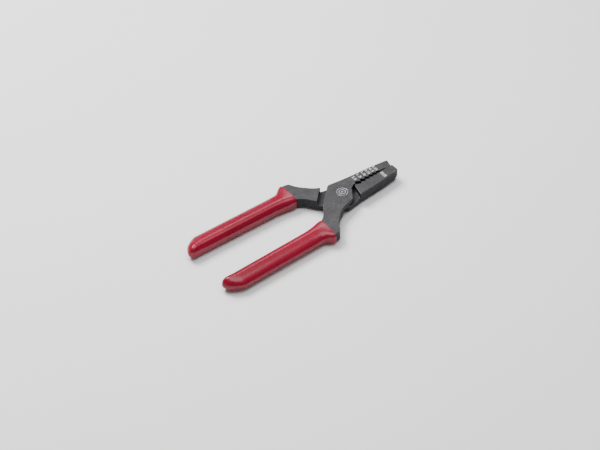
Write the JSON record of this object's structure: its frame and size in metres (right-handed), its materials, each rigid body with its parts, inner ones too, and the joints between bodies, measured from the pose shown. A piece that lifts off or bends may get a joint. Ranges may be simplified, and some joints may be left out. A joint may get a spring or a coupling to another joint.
{
  "type": "crimping pliers",
  "caption": "Hand crimping pliers for wire end ferrules: two lapped forged steel levers on a flush rivet, a row of stepped crimp nests in the jaws and a red plastic grip on each handle.",
  "frame": {"origin": "where the pivot axis leaves the flat back face of the joint, on the end of the flush rivet", "axes": "+X from the pivot to the jaw tips, +Y towards the rear lever's handle, +Z out of the front face along the pivot axis"},
  "size_m": [0.1461, 0.0566, 0.0098],
  "materials": {
    "blackened_steel": "phosphated dark grey, satin on the ground faces",
    "rivet_steel": "ground flush, lighter than the forging",
    "grip_plastic": "glossy red, smooth"
  },
  "bodies": {
    "rear_half": {"rear_lever": "blackened_steel", "rear_grip": "grip_plastic", "joint_rivet": "rivet_steel"},
    "front_half": {"front_lever": "blackened_steel", "front_grip": "grip_plastic"}
  },
  "joints": [
    {"name": "pivot", "type": "hinge", "parent": "rear_half", "child": "front_half", "pos_m": [0, 0, 0], "axis": [0, 0, 1], "range_deg": [0, 30]}
  ]
}
